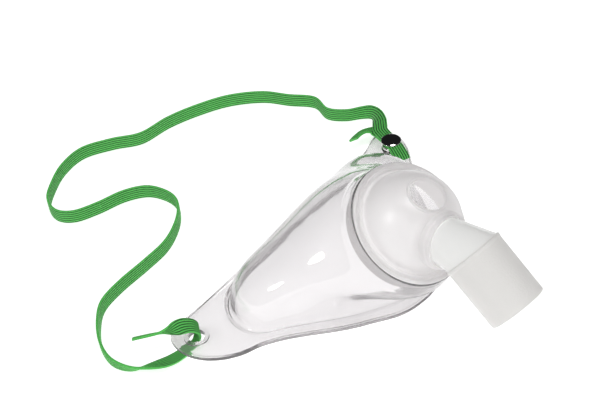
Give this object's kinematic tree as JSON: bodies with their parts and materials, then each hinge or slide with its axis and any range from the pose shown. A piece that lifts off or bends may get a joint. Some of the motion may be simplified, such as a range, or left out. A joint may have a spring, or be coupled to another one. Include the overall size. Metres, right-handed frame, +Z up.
{
  "type": "tracheostomy mask",
  "caption": "Clear soft neck shield with a frosted hood, a suction port, a swivelling 22 mm hose connector and a green elastic strap held by a press stud.",
  "frame": {"origin": "on the table, under the middle of the box of the mask without its strap", "axes": "+X from ear to ear towards the press stud, +Z up, hose connector towards -Y"},
  "size_m": [0.1707, 0.2221, 0.056],
  "materials": {
    "clear_vinyl": "clear, soft, glossy",
    "frosted_plastic": "frosted, translucent",
    "green_elastic": "ribbed braided elastic",
    "press_stud_metal": "polished"
  },
  "bodies": {
    "shield": {"mask_body": "clear_vinyl", "hood": "frosted_plastic", "snap_stud": "press_stud_metal", "snap_post": "press_stud_metal", "strap_run": "green_elastic"},
    "elbow": {"swivel_elbow": "frosted_plastic"},
    "strap_snap": {"snap_cap": "press_stud_metal", "snap_socket": "press_stud_metal", "strap_end": "green_elastic"}
  },
  "joints": [
    {"name": "elbow_swivel", "type": "hinge", "parent": "shield", "child": "elbow", "pos_m": [-0.00428, -0.02065, 0.03943], "axis": [-0.2166, -0.9403, 0.2626], "continuous": true},
    {"name": "snap_pull", "type": "slide", "parent": "shield", "child": "strap_snap", "axis": [0, 0, 1], "range_m": [0, 0.01]}
  ]
}
